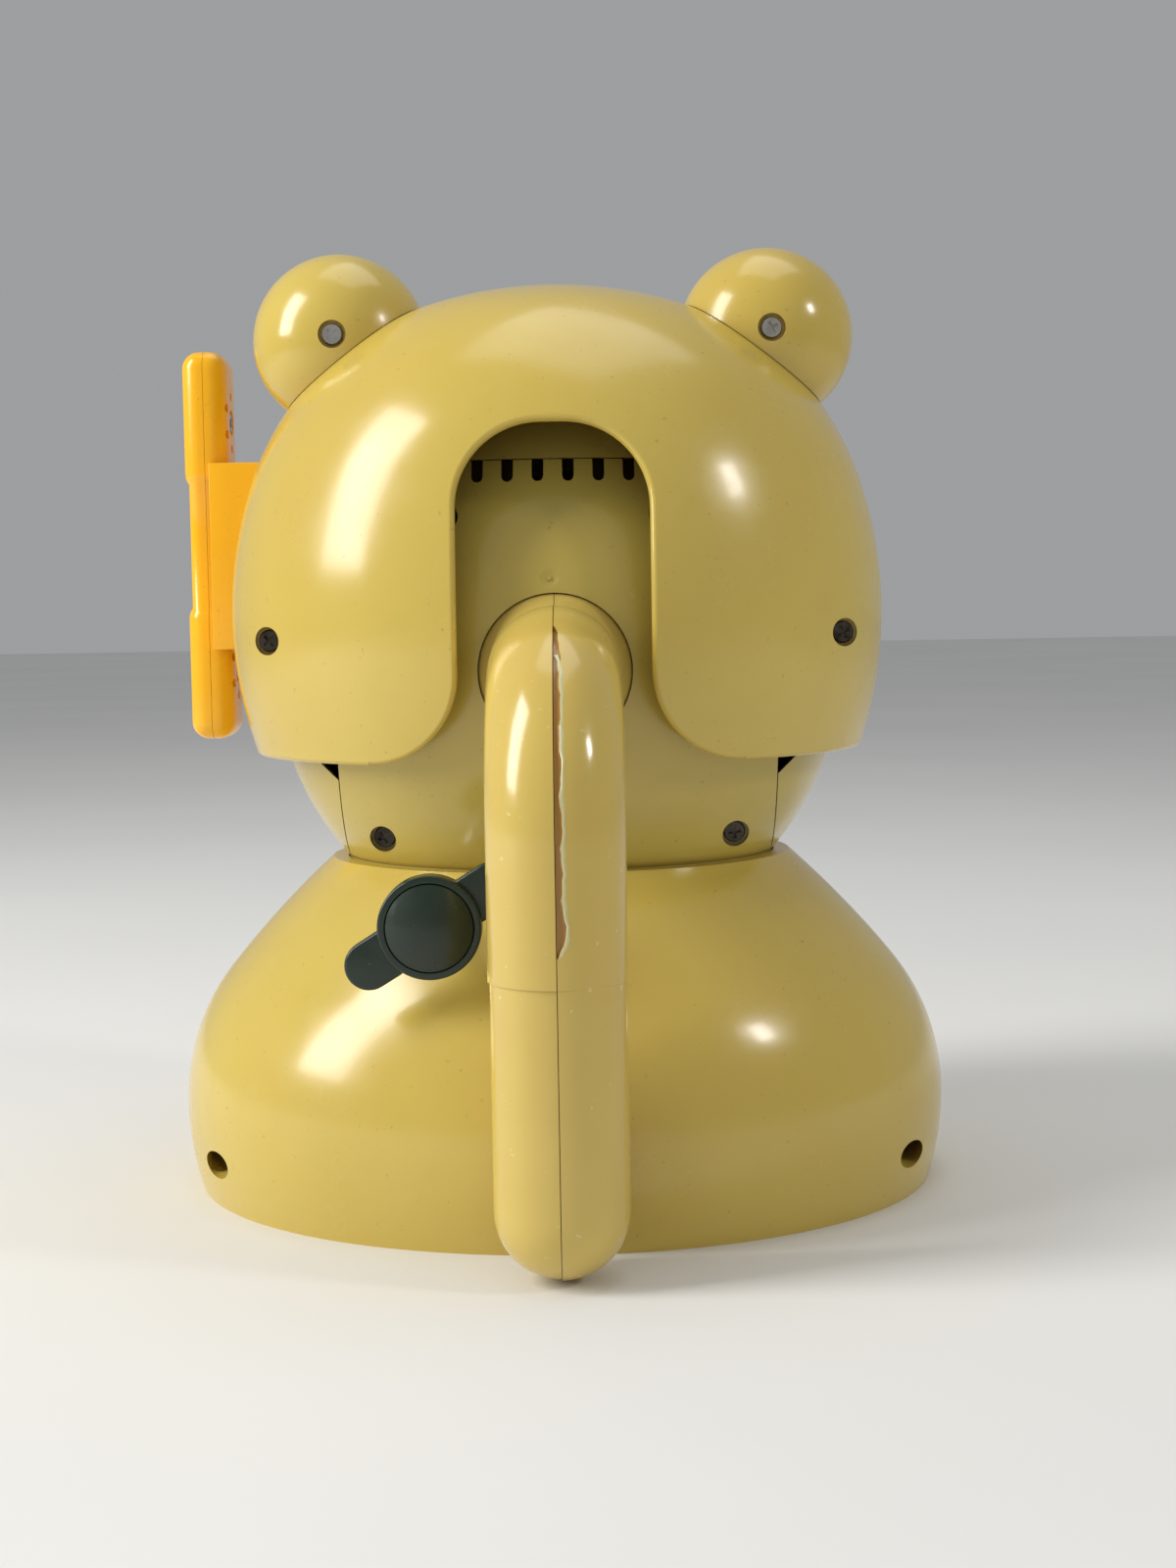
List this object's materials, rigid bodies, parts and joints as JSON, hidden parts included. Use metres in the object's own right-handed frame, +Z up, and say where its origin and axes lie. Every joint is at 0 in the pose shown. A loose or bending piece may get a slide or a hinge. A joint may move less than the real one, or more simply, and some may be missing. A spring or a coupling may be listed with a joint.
{
  "type": "novelty telephone",
  "caption": "Bear-shaped toy telephone with lift-off handset at the cheek, finger dial, wind-up key and a tail lever that rings a bell",
  "frame": {"origin": "centre of the flat base plate, on the surface the phone stands on", "axes": "+X to the right seen from the back, +Y towards the face, +Z up"},
  "size_m": [0.1919, 0.2114, 0.2306],
  "materials": {
    "cream_plastic": "yellowed glossy moulded plastic",
    "orange_plastic": "glossy orange moulded plastic",
    "dark_plastic": "glossy dark brown plastic",
    "green_plastic": "satin dark green plastic",
    "dial_white": "off-white plastic",
    "dial_orange": "glossy orange plastic",
    "steel": "plated steel",
    "brass": "rolled brass"
  },
  "bodies": {
    "phone": {"body_back": "cream_plastic", "body_front": "cream_plastic", "base_plate": "cream_plastic", "inner_head_front": "cream_plastic", "inner_head_panel": "cream_plastic", "head_shell_back": "cream_plastic", "head_shell_front": "cream_plastic", "ear_left_back": "cream_plastic", "ear_left_front": "cream_plastic", "ear_right_back": "cream_plastic", "ear_right_front": "cream_plastic", "muzzle": "cream_plastic", "handset_bracket": "orange_plastic", "nose": "dark_plastic", "eye_left": "dark_plastic", "eye_right": "dark_plastic", "body_screws": "steel", "base_screws": "steel", "panel_screws": "steel", "shell_screws": "steel", "ear_screws": "steel", "gong_screw": "steel", "movement_screws": "steel", "bracket_screws": "steel", "melody_comb": "steel", "dial_finger_stop": "steel", "dial_return_spring": "steel", "movement_pillars": "steel", "movement_back_plate": "brass", "movement_front_plate": "brass", "bell_gong": "brass", "dial_number_plate": "dial_white"},
    "lever": {"lever_half_left": "cream_plastic", "lever_half_right": "cream_plastic", "lever_axle": "steel"},
    "hammer": {"bell_hammer": "steel"},
    "key": {"winding_key": "green_plastic", "key_arbor": "steel"},
    "barrel": {"spring_barrel": "brass", "mainspring": "steel"},
    "drum": {"melody_drum": "brass"},
    "governor_fly": {"governor": "brass"},
    "dial": {"dial_finger_wheel": "dial_orange", "dial_centre_cap": "dial_orange", "dial_spindle": "steel"},
    "handset": {"handset_outer_half": "orange_plastic", "handset_inner_half": "orange_plastic", "handset_screws": "steel"}
  },
  "joints": [
    {"name": "lever_swing", "type": "hinge", "parent": "phone", "child": "lever", "pos_m": [0, -0.054, 0.1287], "axis": [-1, 0, 0], "range_deg": [0, 12]},
    {"name": "hammer_swing", "type": "hinge", "parent": "phone", "child": "hammer", "pos_m": [0, -0.02, 0.132], "axis": [1, 0, 0], "range_deg": [0, 17.04]},
    {"name": "key_turn", "type": "hinge", "parent": "phone", "child": "key", "pos_m": [-0.0285, -0.0722, 0.073], "axis": [0, 1, 0], "continuous": true},
    {"name": "barrel_turn", "type": "hinge", "parent": "phone", "child": "barrel", "pos_m": [-0.0285, -0.02, 0.073], "axis": [0, 1, 0], "continuous": true},
    {"name": "drum_turn", "type": "hinge", "parent": "phone", "child": "drum", "pos_m": [-0.01642, -0.02, 0.05509], "axis": [0, 1, 0], "continuous": true},
    {"name": "governor_turn", "type": "hinge", "parent": "phone", "child": "governor_fly", "pos_m": [-0.0039, -0.02, 0.04978], "axis": [0, 1, 0], "continuous": true},
    {"name": "dial_turn", "type": "hinge", "parent": "phone", "child": "dial", "pos_m": [0, 0.0821, 0.0454], "axis": [0, 0.9135, 0.4067], "range_deg": [-300, 0], "stiffness_Nm_per_rad": 0.01},
    {"name": "handset_lift", "type": "slide", "parent": "phone", "child": "handset", "axis": [-1, 0, 0], "range_m": [0, 0.06]}
  ],
  "couplings": [
    {"joint": "hammer_swing", "follows": "lever_swing", "ratio": 1.42},
    {"joint": "drum_turn", "follows": "barrel_turn", "ratio": -1.25},
    {"joint": "governor_turn", "follows": "barrel_turn", "ratio": 3}
  ]
}
